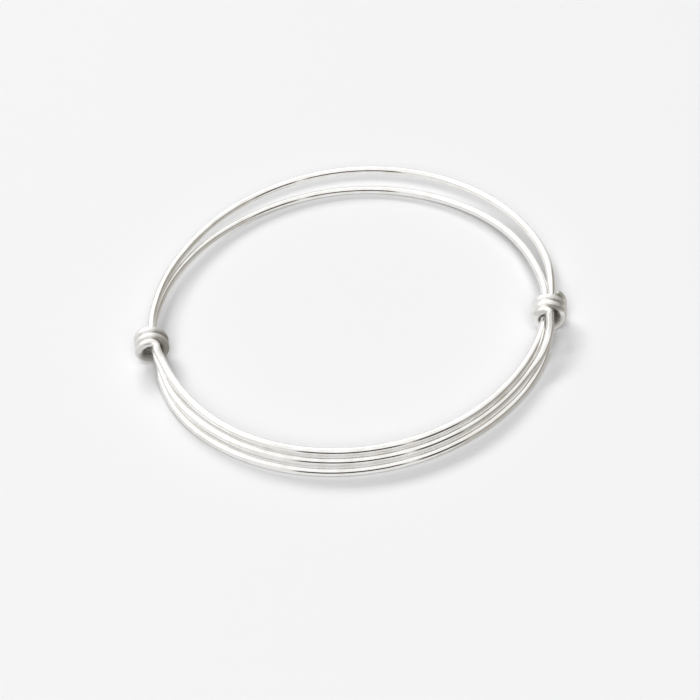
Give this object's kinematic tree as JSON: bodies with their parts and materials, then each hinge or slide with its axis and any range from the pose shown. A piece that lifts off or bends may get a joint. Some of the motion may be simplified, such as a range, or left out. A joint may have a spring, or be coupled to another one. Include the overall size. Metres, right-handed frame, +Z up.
{
  "type": "bangle",
  "caption": "Slim adjustable bangle of polished round silver wire, its two ends wrapped as sliding coils round the strands beside them.",
  "frame": {"origin": "on the table under the middle of the bangle's box, close to the middle of the ring", "axes": "+Z up from the table, square to the ring; +X from the left coil to the right coil; -Y towards the side with the three strands"},
  "size_m": [0.0702, 0.0696, 0.0057],
  "materials": {
    "silver": "bright polished silver, with fine drawing lines and light wear"
  },
  "bodies": {
    "root": {"bangle_wire": "silver"}
  },
  "joints": []
}
